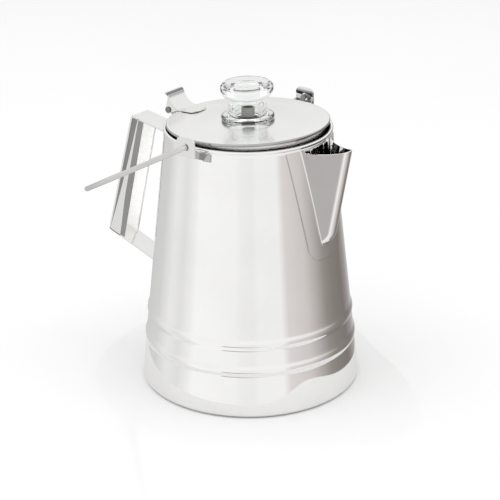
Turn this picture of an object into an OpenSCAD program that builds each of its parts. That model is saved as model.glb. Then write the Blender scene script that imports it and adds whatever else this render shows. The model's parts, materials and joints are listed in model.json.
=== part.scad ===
// Camping coffee percolator: welded steel pot with spout, strap handle, swinging bail,
// hinged lid, see-through glass knob and a lift-out brewing insert.
// Millimetres. Z is up, the base rests on Z = 0 and is centred on the origin.
// The spout points along +X, the handle along -X and the bail turns about an axis along Y.

/* [Pot] */
// Width of the pot across its base, before the corner is rounded
base_d = 160.2; // [158:0.2:163]
// Width of the conical wall at the mouth
mouth_d = 118.4; // [117:0.2:119.6]
// Height of the conical wall
pot_h = 191; // [190.5:0.1:191.5]
// Thickness of the wall sheet
wall_t = 1; // [0.8:0.1:1.2]
// Thickness of the base plate
base_t = 1.2; // [1:0.1:1.6]
// Radius of the rounded corner round the base
base_corner_r = 3; // [2:0.5:5]
// Radius of the wire-thin rolled bead round the mouth
rim_bead_r = 1.3; // [1.1:0.1:1.3]
// Height of the lower stiffening bead
bead_low_z = 35; // [25:1:38]
// Height of the upper stiffening bead
bead_high_z = 54; // [50:1:56]
// How far each stiffening bead stands out
bead_proud = 1; // [0.4:0.1:1.4]
// Height of each stiffening bead, from edge to edge
bead_w = 10; // [6:1:12]

/* [Spout] */
// Reach of the spout's tip from the middle of the pot
spout_tip_x = 86.6; // [82:0.2:90]
// Height of the spout's tip
spout_tip_z = 188.4; // [187:0.2:189]
// Half of the angle between the two side sheets
spout_half_angle = 26.5; // [25:0.5:28]
// Thickness of the spout sheet
spout_t = 1; // [0.8:0.1:1.2]
// Height of the lowest point of the welded flange
flange_low_z = 107.2; // [104:0.1:110]

/* [Handle] */
// Width of the handle strap
strap_w = 18; // [16:1:20]
// Thickness of the handle strap
strap_t = 1.6; // [1.2:0.1:2]
// Distance from the middle of the pot to the grip's upper outer corner
grip_top_x = 101; // [98:0.5:104]
// Height of the grip's upper outer corner
grip_top_z = 182.4; // [180:0.2:184]
// Distance from the middle of the pot to the grip's lower outer corner
grip_low_x = 128.5; // [125:0.5:132]
// Height of the grip's lower outer corner
grip_low_z = 86; // [84:0.5:90]

/* [Lid] */
// Width of the lid over its curled edge
lid_d = 115.8; // [115.4:0.1:116]
// Angle at which the lid stands clear of the rim as drawn
lid_ajar = 2; // [0:0.5:6]
// Rise of the lid from its flat margin to the knob seat
lid_rise = 0.6; // [0.2:0.1:1]
// Depth of the locating ring under the lid
skirt_h = 6; // [4:0.5:7]
// Width of the hinge leaf and of the thumb lever
lever_w = 18; // [17:0.5:20]

/* [Knob] */
// Width of the knob's head
knob_d = 37.4; // [36.6:0.2:39]
// Height of the knob above its seat on the lid
knob_h = 26.8; // [26:0.2:28]
// Width of the clear hollow inside the knob
knob_bore_d = 18; // [17:0.5:18.5]

/* [Bail] */
// Diameter of the bail wire
wire_d = 3.8; // [3.4:0.1:4]
// Distance between the middles of the bail's two arms
bail_span = 147.2; // [147:0.2:149]
// Reach of the bail from its axis to the middle of its bow
bail_reach = 145; // [144.5:0.5:147]
// Angle below level at which the bail hangs on the handle side
bail_rest = 28.3; // [26:0.1:30]

/* [Brewing insert] */
// Outer diameter of the pump tube
tube_d = 9.5; // [9:0.1:10]
// Height of the pump tube's top
tube_top_z = 205; // [202:0.5:206]
// Outer diameter of the coffee basket
basket_d = 100; // [96:1:102]
// Height of the underside of the basket
basket_z = 125; // [122:1:126]
// Depth of the basket
basket_h = 45; // [40:1:46]

/* [Hidden] */
$fn = 72;

eps = 0.01;
steel = "gainsboro";
bright = "whitesmoke";

// pot
base_r = base_d / 2;
mouth_r = mouth_d / 2;
plate_r = base_r - 6;
rim_r = mouth_r - 0.5;
rim_z = pot_h - rim_bead_r;

// hinge
hinge_x = -65;
hinge_z = 192.6;
pin_r = 1.4;
barrel_r = 2.6;
pin_fit = 0.05;
lug_t = 1.4;
lug_gap = 0.4;
barrel_w = lever_w - 2 * lug_t - 2 * lug_gap;

// lid, drawn shut and then turned by lid_ajar
sheet_t = 1;
curl_r = 1.2;
curl_mid_r = lid_d / 2 - curl_r;
lid_edge_z = rim_z + 3.1;
seat_z = lid_edge_z + lid_rise;
seat_r = 22;
margin_r = 40;
skirt_r = 55;
knob_hole_r = 11.2;
lug_count = 3;
notch_r = knob_hole_r + 3.2;
notch_w = 9;

// knob
bore_r = knob_bore_d / 2;
spigot_r = knob_hole_r - 0.5;
collar_r = knob_d / 2 + 0.1;
neck_r = 13.5;
collar_h = 3.6;
head_h = 11.5;
knob_gap = 0.2;
turn_lug_h = 1.8;

// bail and ears
wire_r = wire_d / 2;
arm_y = bail_span / 2;
bail_z = 194;
wire_bend_r = 3;
ear_t = 1.2;
ear_y = arm_y - wire_bend_r - ear_t;
ear_w = 15.5;
ear_low_z = 187;
ear_top_z = 201;
ear_fit = 0.7;

// insert
insert_t = 0.9;
pump_base_r = 50;
pump_base_z = 1.6;
tube_fit = 0.4;
sleeve_r = tube_d / 2 + tube_fit + insert_t;

function bead(z, middle) =
    abs(z - middle) < bead_w / 2 ? bead_proud * (1 + cos(360 * (z - middle) / bead_w)) / 2 : 0;
function cone_r(z) = base_r + (mouth_r - base_r) * z / pot_h;
function wall_r(z) = cone_r(z) + bead(z, bead_low_z) + bead(z, bead_high_z);
function arc(x, z, r, from, to, steps) =
    [for (k = [0:steps]) let (a = from + (to - from) * k / steps) [x + r * cos(a), z + r * sin(a)]];
function reverse(list) = [for (k = [len(list) - 1:-1:0]) list[k]];

// Extrudes an outline drawn in X and Z evenly to both sides of the middle plane.
module across(width) {
    rotate([90, 0, 0])
        linear_extrude(height = width, center = true)
            children();
}

// Cylinder on the hinge axis.
module hinge_line(radius, width) {
    translate([hinge_x, 0, hinge_z])
        rotate([90, 0, 0])
            cylinder(r = radius, h = width, center = true);
}

// Places a shape drawn on the shut lid where the ajar lid holds it.
module on_lid() {
    translate([hinge_x, 0, hinge_z])
        rotate([0, -lid_ajar, 0])
            translate([-hinge_x, 0, -hinge_z])
                children();
}

// ---- pot ----

wall_levels = concat(
    [base_corner_r],
    [for (middle = [bead_low_z, bead_high_z]) for (k = [-6:6]) middle + k * bead_w / 12],
    [rim_z]
);

module pot_wall() {
    outer = concat(
        [[plate_r, 0]],
        arc(wall_r(base_corner_r) - base_corner_r, base_corner_r, base_corner_r, -90, 0, 6),
        [for (k = [1:len(wall_levels) - 1]) [wall_r(wall_levels[k]), wall_levels[k]]]
    );
    inner = concat(
        [[plate_r, wall_t]],
        arc(wall_r(base_corner_r) - base_corner_r, base_corner_r, base_corner_r - wall_t, -90, 0, 6),
        [for (k = [1:len(wall_levels) - 1]) [wall_r(wall_levels[k]) - wall_t, wall_levels[k]]]
    );
    rotate_extrude() polygon(concat(outer, reverse(inner)));
}

// Cutter for an upright slot with rounded corners, from the pot's axis out through the wall.
module wall_slot(width, low, top) {
    corner_r = 2;
    half = width / 2 - corner_r;
    rotate([90, 0, 90])
        linear_extrude(height = base_r)
            polygon(concat(
                arc(half, low + corner_r, corner_r, -90, 0, 4),
                arc(half, top - corner_r, corner_r, 0, 90, 4),
                arc(-half, top - corner_r, corner_r, 90, 180, 4),
                arc(-half, low + corner_r, corner_r, 180, 270, 4)
            ));
}

// Strainer behind the spout: three tall slots parted by two bars, over three rows of holes.
module strainer() {
    slot_low = 150;
    slot_top = 186.4;
    hole_r = 2.2;
    pitch = 7;
    wall_slot(14, slot_low, slot_top);
    for (side = [-1, 1])
        rotate([0, 0, side * 11.4])
            wall_slot(5.4, slot_low + 8, slot_top);
    for (row = [0:2]) {
        z = 127 + row * pitch;
        for (k = [-row / 2:row / 2])
            rotate([0, 0, k * 6.4])
                translate([cone_r(z) - 5, 0, z])
                    rotate([0, 90, 0]) cylinder(r = hole_r, h = 10);
    }
}

module pot_body() {
    color(bright)
        difference() {
            union() {
                pot_wall();
                rotate_extrude() translate([rim_r, rim_z]) circle(r = rim_bead_r);
            }
            strainer();
        }
}

// Flat base disc, with a shallow ring pressed into it as a stiffener.
module base_plate() {
    ring_r = 56;
    ring_w = 5;
    ring_d = 0.5;
    color(steel)
        rotate_extrude()
            polygon([
                [0, 0], [ring_r - ring_w, 0], [ring_r - ring_w + ring_d, ring_d],
                [ring_r - ring_d, ring_d], [ring_r, 0], [plate_r, 0],
                [plate_r, base_t], [0, base_t]
            ]);
}

// ---- spout ----

ridge_lean = 11;
keel_r = 12;
nose_r = 6;
wall_back_x = 52;

// Side outline of the spout: sagging mouth, straight ridge and a keel that curves into the wall.
// The inset outline runs on above the mouth, so that it cuts the mouth open.
module spout_side(inset) {
    mouth_sag = 2.6;
    mouth_half = (spout_tip_x - wall_back_x) / 2;
    mouth_r = (mouth_half * mouth_half + mouth_sag * mouth_sag) / (2 * mouth_sag);
    mouth_turn = asin(mouth_half / mouth_r);
    keel_top_z = 126;
    keel_end = -70;
    keel_low_z = 112;
    over = inset > 0 ? 8 : 0;
    ridge_in = inset / cos(ridge_lean);
    keel_top_x = spout_tip_x - (spout_tip_z - keel_top_z) * tan(ridge_lean);
    mouth = arc(wall_back_x + mouth_half, spout_tip_z + mouth_r - mouth_sag, mouth_r,
                -90 - mouth_turn, -90 + mouth_turn, 8);
    keel = arc(keel_top_x - keel_r * cos(ridge_lean), keel_top_z + keel_r * sin(ridge_lean),
               keel_r - inset, -ridge_lean, keel_end, 10);
    across(90)
        polygon(concat(
            [for (p = mouth) if (p[0] < spout_tip_x - ridge_in - 0.2) [p[0], p[1] + over]],
            [[spout_tip_x - ridge_in, spout_tip_z + over]],
            keel,
            [[wall_back_x, keel_low_z]]
        ));
}

// Endless V trough along the leaning ridge, with a rounded nose.
module spout_trough(inset) {
    depth = 60;
    below = 110;
    above = 20;
    half = (depth - nose_r) * tan(spout_half_angle) + (nose_r - inset) / cos(spout_half_angle);
    translate([spout_tip_x, 0, spout_tip_z])
        rotate([0, ridge_lean, 0])
            translate([0, 0, -below])
                linear_extrude(height = below + above)
                    polygon(concat(
                        arc(-nose_r, 0, nose_r - inset, -90 + spout_half_angle, 90 - spout_half_angle, 12),
                        [[-depth, half], [-depth, -half]]
                    ));
}

module spout_form(inset) {
    intersection() {
        spout_side(inset);
        spout_trough(inset);
    }
}

// Shield-shaped flange round the trough, still solid down to the pot's axis.
module spout_flange() {
    flange_t = 0.8;
    top_half = 28.4;
    top_z = 187.9;
    low_half = 18.8;
    corner_r = 12;
    low_z = flange_low_z + corner_r;
    intersection() {
        translate([flange_t, 0, 0]) cylinder(r1 = base_r, r2 = mouth_r, h = pot_h);
        rotate([90, 0, 90])
            linear_extrude(height = 100)
                polygon(concat(
                    [[top_half, top_z], [-top_half, top_z]],
                    arc(-low_half + corner_r, low_z, corner_r, 180, 270, 6),
                    arc(low_half - corner_r, low_z, corner_r, 270, 360, 6)
                ));
    }
}

module spout() {
    color(bright)
        difference() {
            union() {
                spout_form(0);
                spout_flange();
            }
            cylinder(r1 = base_r, r2 = mouth_r, h = pot_h);
            spout_form(spout_t);
        }
}

// ---- handle ----

arm_drop = 11;
arm_root_x = cone_r(174.5) + strap_t;
arm_root_z = grip_top_z - (grip_top_x - arm_root_x) * tan(arm_drop);
upper_seam_x = 87;
lower_root_z = 66.5;
lower_root_x = cone_r(lower_root_z) + strap_t;
lower_seam_x = 106;
grip_lean = atan((grip_low_x - grip_top_x) / (grip_top_z - grip_low_z));
low_slope = (grip_low_z - lower_root_z) / (grip_low_x - lower_root_x);
tab_h = 15;

function upper_z(x) = grip_top_z - (grip_top_x - x) * tan(arm_drop);
function lower_z(x) = grip_low_z - (grip_low_x - x) * low_slope;
// distances are measured towards the handle, so outlines are drawn on +X and mirrored
function grip_x(z) = grip_top_x + (grip_top_z - z) * tan(grip_lean);

module handle_side() {
    mirror([1, 0, 0]) children();
}

module handle_upper_arm() {
    rise = strap_t / cos(arm_drop);
    inner_x = arm_root_x - strap_t;
    color(bright) handle_side() across(strap_w)
        polygon([
            [upper_seam_x, upper_z(upper_seam_x)],
            [upper_seam_x, upper_z(upper_seam_x) - rise],
            [arm_root_x + 1, upper_z(arm_root_x + 1) - rise],
            [cone_r(arm_root_z - tab_h) + strap_t, arm_root_z - tab_h],
            [cone_r(arm_root_z - tab_h), arm_root_z - tab_h],
            [cone_r(arm_root_z), arm_root_z],
            [inner_x + 1, upper_z(inner_x + 1)]
        ]);
}

module handle_lower_arm() {
    rise = strap_t * sqrt(1 + low_slope * low_slope);
    top_z = lower_root_z + tab_h;
    foot_z = lower_z(lower_root_x) - 1;
    color(bright) handle_side() across(strap_w)
        polygon([
            [lower_seam_x, lower_z(lower_seam_x)],
            [lower_seam_x, lower_z(lower_seam_x) + rise],
            [lower_root_x + 1, lower_z(lower_root_x + 1) + rise],
            [cone_r(top_z) + strap_t, top_z],
            [cone_r(top_z), top_z],
            [cone_r(foot_z), foot_z]
        ]);
}

// Side outline of the channel grip, out to the given depth behind its outer face.
module grip_web() {
    corner_r = 3;
    rise_up = strap_t / cos(arm_drop);
    rise_low = strap_t * sqrt(1 + low_slope * low_slope);
    top_in = [grip_x(grip_top_z - strap_t) - strap_t / cos(grip_lean), grip_top_z];
    top_corner = arc(grip_top_x - corner_r * 0.86, grip_top_z - corner_r * 1.12, corner_r,
                     90 + arm_drop, -grip_lean, 6);
    low_corner = arc(grip_low_x - corner_r * 1.22, grip_low_z + corner_r * 0.62, corner_r,
                     -grip_lean, -90 + atan(low_slope), 6);
    in_x = top_in[0];
    polygon(concat(
        [[upper_seam_x, upper_z(upper_seam_x) - rise_up], [upper_seam_x, upper_z(upper_seam_x)]],
        top_corner,
        low_corner,
        [[lower_seam_x, lower_z(lower_seam_x)], [lower_seam_x, lower_z(lower_seam_x) + rise_low]],
        [[grip_x(grip_low_z + 4) - strap_t / cos(grip_lean) - 0.6,
          lower_z(grip_low_x - 1) + rise_low + 0.6]],
        [[in_x, upper_z(in_x) - rise_up - 0.2]]
    ));
}

// Side outline of a flange, which is a little deeper at the bottom of the grip than at its top.
module grip_flange() {
    top_depth = 11.5;
    low_depth = 14.5;
    edge = strap_t / 2;
    corner = 4;
    top_in = grip_top_x - top_depth - 0.6;
    low_in = grip_low_x - low_depth;
    polygon([
        [top_in, upper_z(top_in) - edge],
        [grip_top_x - 3, grip_top_z - edge - 0.5],
        [grip_x(grip_top_z - 3) - edge, grip_top_z - 3],
        [grip_x(grip_low_z + corner) - edge, grip_low_z + corner],
        [grip_low_x - corner, grip_low_z],
        [low_in, lower_z(low_in) + edge],
        [low_in, grip_low_z],
        [grip_x(grip_top_z - 6) - top_depth, grip_top_z - 6]
    ]);
}

module handle_grip() {
    flange_t = 1.4;
    color(bright) handle_side() {
        across(strap_w) grip_web();
        for (side = [-1, 1])
            translate([0, side * (strap_w - flange_t) / 2, 0])
                across(flange_t) grip_flange();
    }
}

// ---- ears ----

module ear_plate() {
    corner_r = 4;
    low = ear_low_z;
    translate([0, -ear_t / 2, 0])
        across(ear_t)
            difference() {
                polygon(concat(
                    [[-ear_w / 2, low], [ear_w / 2, low]],
                    arc(ear_w / 2 - corner_r, ear_top_z - corner_r, corner_r, 0, 90, 6),
                    arc(corner_r - ear_w / 2, ear_top_z - corner_r, corner_r, 90, 180, 6)
                ));
                translate([0, bail_z]) circle(r = wire_r + ear_fit);
            }
}

// Leg that runs from one edge of the ear plate to the wall, and its foot on the wall.
module ear_leg() {
    leg_t = 1.2;
    foot_low = 182.6;
    foot_top = 187.9;
    foot_w = 6;
    wall_y = sqrt(pow(cone_r(foot_top), 2) - pow(ear_w / 2, 2));
    translate([ear_w / 2 - leg_t, 0, 0])
        rotate([90, 0, 90])
            linear_extrude(height = leg_t)
                polygon([
                    [-ear_y - eps, ear_low_z], [-ear_y - eps, 192.6],
                    [-wall_y - 0.6, foot_top], [-wall_y - 0.6, foot_low]
                ]);
    intersection() {
        rotate_extrude()
            polygon([
                [cone_r(foot_low), foot_low], [cone_r(foot_low) + leg_t, foot_low],
                [cone_r(foot_top) + leg_t, foot_top], [cone_r(foot_top), foot_top]
            ]);
        translate([ear_w / 2 - leg_t, -70, foot_low]) cube([foot_w, 30, foot_top - foot_low]);
    }
}

module bail_ear() {
    translate([0, -ear_y, 0]) ear_plate();
    ear_leg();
    mirror([1, 0, 0]) ear_leg();
}

module bail_ear_left() {
    color(bright) mirror([0, 1, 0]) bail_ear();
}

module bail_ear_right() {
    color(bright) bail_ear();
}

// ---- bail ----

// Half of the bow, drawn level: the wire passes through an ear, droops behind it so that
// it can't slip out, and bends into the arm outside the ear.
module bail_half() {
    straight = bail_reach - arm_y;
    inner_y = ear_y - 1.6;
    droop = 38;
    hook_len = 4.4;
    translate([0, -inner_y, 0])
        rotate([-90 - droop, 0, 0]) cylinder(r = wire_r, h = hook_len);
    translate([0, -inner_y + 0.8, 0])
        rotate([90, 0, 0]) cylinder(r = wire_r, h = arm_y - wire_bend_r - inner_y + 0.8);
    translate([-wire_bend_r, -arm_y + wire_bend_r, 0])
        rotate([0, 0, -90])
            rotate_extrude(angle = 90) translate([wire_bend_r, 0]) circle(r = wire_r);
    translate([-wire_bend_r, -arm_y, 0])
        rotate([0, -90, 0]) cylinder(r = wire_r, h = straight - wire_bend_r);
    translate([-straight, 0, 0])
        rotate([0, 0, 180])
            rotate_extrude(angle = 90) translate([arm_y, 0]) circle(r = wire_r);
}

module bail($fn = 40) {
    color(steel)
        translate([0, 0, bail_z])
            rotate([0, -bail_rest, 0]) {
                bail_half();
                mirror([0, 1, 0]) bail_half();
            }
}

// ---- hinge ----

module hinge_bracket() {
    plate_t = 1.5;
    low_z = 177;
    plate_in = -cone_r(low_z) - 0.05;
    plate_out = plate_in - plate_t;
    color(steel)
        difference() {
            union() {
                hinge_line(barrel_r, barrel_w);
                across(barrel_w)
                    polygon([
                        [plate_in, low_z], [plate_out, low_z], [plate_out, 188.4],
                        [hinge_x - 1.8, 190.9], [hinge_x, hinge_z], [hinge_x + 1.2, 194.7],
                        [plate_in, 191.4]
                    ]);
            }
            hinge_line(pin_r, barrel_w + 2);
        }
}

module hinge_pin() {
    head_h = 0.9;
    color(steel)
        translate([hinge_x, 0, hinge_z])
            rotate([90, 0, 0]) {
                cylinder(r = pin_r, h = lever_w + 0.3, center = true);
                for (side = [-1, 1])
                    translate([0, 0, side * (lever_w / 2 + 0.15 + head_h / 2)])
                        cylinder(r = pin_r + 0.9, h = head_h, center = true);
            }
}

// ---- lid ----

module lid() {
    color(steel) on_lid()
        difference() {
            rotate_extrude() {
                polygon([
                    [0, seat_z - sheet_t], [seat_r, seat_z - sheet_t],
                    [margin_r, lid_edge_z - sheet_t], [curl_mid_r, lid_edge_z - sheet_t],
                    [curl_mid_r, lid_edge_z], [margin_r, lid_edge_z],
                    [seat_r, seat_z], [0, seat_z]
                ]);
                translate([curl_mid_r, lid_edge_z - curl_r]) circle(r = curl_r);
            }
            translate([0, 0, seat_z - 5]) cylinder(r = knob_hole_r, h = 10);
            for (k = [0:lug_count - 1])
                rotate([0, 0, 60 + k * 360 / lug_count])
                    translate([0, -notch_w / 2, seat_z - 5]) cube([notch_r, notch_w, 10]);
        }
}

module lid_skirt() {
    skirt_t = 0.8;
    top_z = lid_edge_z - sheet_t;
    color(steel) on_lid()
        translate([0, 0, top_z - skirt_h])
            difference() {
                cylinder(r = skirt_r, h = skirt_h);
                translate([0, 0, -1]) cylinder(r = skirt_r - skirt_t, h = skirt_h + 2);
            }
}

// Hinge leaf and thumb lever, bent from one strap that is carried by two lugs on the pin.
module thumb_lever() {
    leaf_t = 1.2;
    bend_r = 11.5;
    bend_x = -53;
    bend_z = lid_edge_z + leaf_t + bend_r;
    bend_end = 193;
    leaf_len = 12;
    leaf_nose_r = 14;
    lip_r = 1.6;
    lip_x = bend_x + (bend_r + leaf_t + lip_r) * cos(bend_end);
    lip_z = bend_z + (bend_r + leaf_t + lip_r) * sin(bend_end);
    lip_start = bend_end - 180;
    lip_end = lip_start + 100;
    color(steel) on_lid() {
        across(lever_w)
            polygon(concat(
                arc(bend_x, bend_z, bend_r, 270, bend_end, 12),
                arc(lip_x, lip_z, lip_r + leaf_t, lip_start, lip_end, 6),
                arc(lip_x, lip_z, lip_r, lip_end, lip_start, 6),
                arc(bend_x, bend_z, bend_r + leaf_t, bend_end, 270, 12)
            ));
        translate([bend_x, 0, lid_edge_z])
            linear_extrude(height = leaf_t)
                intersection() {
                    translate([leaf_len - leaf_nose_r, 0]) circle(r = leaf_nose_r);
                    translate([-eps, -lever_w / 2]) square([leaf_len + 1, lever_w]);
                }
        for (side = [-1, 1])
            translate([0, side * (lever_w - lug_t) / 2, 0])
                across(lug_t)
                    difference() {
                        union() {
                            translate([hinge_x, hinge_z]) circle(r = 3);
                            polygon(concat(
                                [[hinge_x - 3, hinge_z]],
                                arc(bend_x, bend_z, bend_r + leaf_t / 2, bend_end + 2, 262, 8),
                                [[hinge_x + 2.8, hinge_z - 1]]
                            ));
                        }
                        translate([hinge_x, hinge_z]) circle(r = pin_r + pin_fit);
                    }
    }
}

// ---- knob ----

module glass_knob() {
    foot_z = seat_z + knob_gap;
    collar_top = foot_z + collar_h;
    top_z = seat_z + knob_h;
    head_low = top_z - head_h;
    spigot_low = seat_z - sheet_t - knob_gap - turn_lug_h;
    roof_z = top_z - 8;
    soft = 1.4;
    under_r = 7;
    over_r = 4;
    head_r = knob_d / 2;
    color("lightcyan", 0.5) on_lid() {
        rotate_extrude()
            polygon(concat(
                [[bore_r, spigot_low], [spigot_r, spigot_low], [spigot_r, foot_z]],
                [[collar_r - soft, foot_z]],
                arc(collar_r - soft, foot_z + soft, soft, -60, 0, 3),
                arc(collar_r - soft, collar_top - soft, soft, 0, 90, 5),
                arc(neck_r + soft, collar_top + soft, soft, 270, 180, 4),
                arc(neck_r + soft, head_low - soft, soft, 180, 120, 3),
                arc(head_r - under_r, head_low + under_r, under_r, -66, 0, 7),
                arc(head_r - over_r, top_z - over_r, over_r, 0, 90, 8),
                [[0, top_z], [0, roof_z]],
                arc(bore_r - 3, roof_z - 3, 3, 90, 0, 5)
            ));
        for (k = [0:lug_count - 1])
            rotate([0, 0, k * 360 / lug_count])
                intersection() {
                    translate([0, -3.5, spigot_low]) cube([notch_r - 0.6, 7, turn_lug_h]);
                    difference() {
                        translate([0, 0, spigot_low - 1]) cylinder(r = notch_r - 0.6, h = 5);
                        translate([0, 0, spigot_low - 2]) cylinder(r = bore_r + 0.5, h = 7);
                    }
                }
    }
}

// ---- brewing insert ----

// Bell-shaped foot that gathers the steam under it, with gaps round its edge for the water.
module pump_base() {
    bell = [[pump_base_r, pump_base_z], [pump_base_r - 1, 8], [pump_base_r - 8, 12], [9, 20], [6, 26]];
    color(steel)
        difference() {
            rotate_extrude()
                polygon(concat(
                    bell, [[tube_d / 2, 26], [tube_d / 2, 19]],
                    [[9 - 0.4, 20 - insert_t], [pump_base_r - 8.4, 12 - insert_t]],
                    [[pump_base_r - 1.8, 7.6], [pump_base_r - insert_t, pump_base_z]]
                ));
            for (k = [0:5])
                rotate([0, 0, 30 + k * 60])
                    translate([30, -3, pump_base_z - 1]) cube([30, 6, 3]);
        }
}

module pump_tube() {
    low_z = 8;
    color(steel)
        translate([0, 0, low_z])
            difference() {
                cylinder(d = tube_d, h = tube_top_z - low_z);
                translate([0, 0, -1]) cylinder(d = tube_d - 2 * insert_t, h = tube_top_z);
            }
}

module basket_stop() {
    color(steel)
        translate([0, 0, basket_z - 4])
            difference() {
                cylinder(r = sleeve_r + 1.5, h = 4 - 0.1);
                translate([0, 0, -1]) cylinder(d = tube_d, h = 6);
            }
}

function ring_holes(r) = floor(2 * PI * r / 7.5);

// Rings of round holes through a plate that surrounds the pump tube.
module drip_holes(first_r, last_r, z) {
    for (r = [first_r:7:last_r])
        for (k = [0:ring_holes(r) - 1])
            rotate([0, 0, k * 360 / ring_holes(r)])
                translate([r, 0, z - 3]) cylinder(r = 1.3, h = 6);
}

module basket() {
    outer_r = basket_d / 2;
    color(steel)
        difference() {
            translate([0, 0, basket_z])
                rotate_extrude()
                    polygon([
                        [sleeve_r, 0], [outer_r - 4, 0], [outer_r - 1.5, 2.5],
                        [outer_r - 1, basket_h - 1.5], [outer_r, basket_h - 1.5],
                        [outer_r, basket_h], [outer_r - 1 - insert_t, basket_h],
                        [outer_r - 1.5 - insert_t, 3], [outer_r - 4.4, insert_t],
                        [sleeve_r, insert_t]
                    ]);
            drip_holes(14, 42, basket_z);
        }
}

module basket_sleeve() {
    color(steel)
        translate([0, 0, basket_z])
            difference() {
                cylinder(r = sleeve_r, h = basket_h - 8);
                translate([0, 0, -1]) cylinder(r = sleeve_r - insert_t, h = basket_h);
            }
}

// Perforated cover that spreads the water over the ground coffee.
module spreader_plate() {
    low_z = basket_z + basket_h;
    outer_r = basket_d / 2 + 0.6;
    dish_r = basket_d / 2 - 3;
    dish_d = 3;
    color(steel)
        difference() {
            translate([0, 0, low_z + 0.1])
                rotate_extrude()
                    polygon([
                        [tube_d / 2 + tube_fit, -dish_d], [dish_r - 1, -dish_d], [dish_r, 0],
                        [outer_r, 0], [outer_r, insert_t], [dish_r - 0.6, insert_t],
                        [dish_r - 1.6, insert_t - dish_d], [tube_d / 2 + tube_fit, insert_t - dish_d]
                    ]);
            drip_holes(12, 40, low_z - dish_d + 0.5);
        }
}

pot_body();
base_plate();
spout();
bail_ear_left();
bail_ear_right();
handle_grip();
handle_upper_arm();
handle_lower_arm();
hinge_bracket();
hinge_pin();
lid();
lid_skirt();
thumb_lever();
glass_knob();
bail();
pump_base();
pump_tube();
basket_stop();
basket();
basket_sleeve();
spreader_plate();
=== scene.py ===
"""Looks of a camping coffee percolator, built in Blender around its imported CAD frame.

The frame is in metres with Z up, the spout along +X and the handle along -X.
The shapes below are worked out in millimetres, which is what MM is for.
"""
import json
import math

import bmesh
import bpy
from mathutils import Matrix, Vector
from mathutils.geometry import tessellate_polygon


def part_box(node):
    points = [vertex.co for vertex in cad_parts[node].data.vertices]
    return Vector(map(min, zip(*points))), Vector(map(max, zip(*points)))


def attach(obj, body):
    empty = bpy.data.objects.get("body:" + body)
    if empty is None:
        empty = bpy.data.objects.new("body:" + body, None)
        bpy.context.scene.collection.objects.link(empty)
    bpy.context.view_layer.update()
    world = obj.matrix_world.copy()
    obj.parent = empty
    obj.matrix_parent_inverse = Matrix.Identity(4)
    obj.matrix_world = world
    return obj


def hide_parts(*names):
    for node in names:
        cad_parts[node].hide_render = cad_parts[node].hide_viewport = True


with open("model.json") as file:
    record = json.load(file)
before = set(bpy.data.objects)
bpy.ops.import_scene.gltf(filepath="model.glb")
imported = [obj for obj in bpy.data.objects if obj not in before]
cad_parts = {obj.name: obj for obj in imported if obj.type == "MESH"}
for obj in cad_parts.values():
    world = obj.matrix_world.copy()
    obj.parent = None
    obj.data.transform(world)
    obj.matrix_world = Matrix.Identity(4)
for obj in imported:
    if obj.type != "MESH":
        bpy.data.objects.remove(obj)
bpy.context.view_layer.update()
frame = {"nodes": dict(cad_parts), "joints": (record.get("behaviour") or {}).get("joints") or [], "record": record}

MM = 0.001
SEGMENTS = 224
scene = bpy.context.scene


# ---- facts from the frame ----

def box_mm(node):
    """Lowest and highest corner of a CAD node, in millimetres."""
    return [Vector(corner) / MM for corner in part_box(node)]


def joint(name):
    """The record's entry for a joint."""
    return next(j for j in frame["joints"] if j["name"] == name)


def mount(name):
    """The record's entry for a mount."""
    return next(m for m in frame["record"]["mounts"] if m["name"] == name)


pot_high = box_mm("pot_body")[1]
spout_low, spout_high = box_mm("spout")
grip_low, grip_high = box_mm("handle_grip")
ear_low, ear_high = box_mm("bail_ear_right")

# pot, whose wall loses TAPER of its radius for each millimetre of height
SHEET = 1.0
CORNER_R = 3.0
TAPER = 0.10942
BEAD_LEVELS = (35.0, 54.0)
BEAD_WIDTH = 10.0
BEAD_PROUD = 1.0
RIM_R = 1.3
RIM_INSET = 0.5
POT_H = pot_high.z
BASE_R = pot_high.x + TAPER * CORNER_R
MOUTH_R = BASE_R - TAPER * POT_H
PLATE_R = box_mm("base_plate")[1].x
RIM_Z = POT_H - RIM_R

# hinge and lid
HINGE = Vector(joint("lid_hinge")["pos_m"]) / MM
knob_axis = Vector(joint("knob_turn")["axis"])
LID_AJAR = math.atan2(-knob_axis.x, knob_axis.z)
ON_LID = (Matrix.Translation(HINGE) @ Matrix.Rotation(-LID_AJAR, 4, "Y")
          @ Matrix.Translation(-HINGE))
CURL_R = 1.2
CURL_MID_R = 56.7
LID_EDGE_Z = RIM_Z + 3.1
SEAT_Z = LID_EDGE_Z + 0.6
SEAT_R = 22.0
MARGIN_R = 40.0
LEVER_W = 18.0
KNOB_HOLE_R = 11.2
LUG_COUNT = 3
LUG_REACH = 3.2

# bail
bow = Vector(mount("bail_bow")["pos_m"]) / MM
BAIL_Z = joint("bail_swing")["pos_m"][2] / MM
BAIL_REST = math.atan2(BAIL_Z - bow.z, -bow.x)
BAIL_REACH = math.hypot(bow.x, BAIL_Z - bow.z)
WIRE_R = mount("bail_bow")["dims"]["r_mm"]


def cone_r(z):
    """Radius of the plain conical wall at a height."""
    return BASE_R - TAPER * z


def bead(z):
    """How far the stiffening beads push the wall out at a height."""
    out = 0.0
    for middle in BEAD_LEVELS:
        if abs(z - middle) < BEAD_WIDTH / 2:
            out += BEAD_PROUD * (1 + math.cos(2 * math.pi * (z - middle) / BEAD_WIDTH)) / 2
    return out


def arc(x, z, r, start, end, steps):
    """Points on a circle from one angle to another, in degrees."""
    turn = [math.radians(start + (end - start) * k / steps) for k in range(steps + 1)]
    return [(x + r * math.cos(a), z + r * math.sin(a)) for a in turn]


def circle(x, z, r, sides):
    """Points all round a circle, a side apart."""
    return arc(x, z, r, 0, 360 - 360 / sides, sides - 1)


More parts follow.
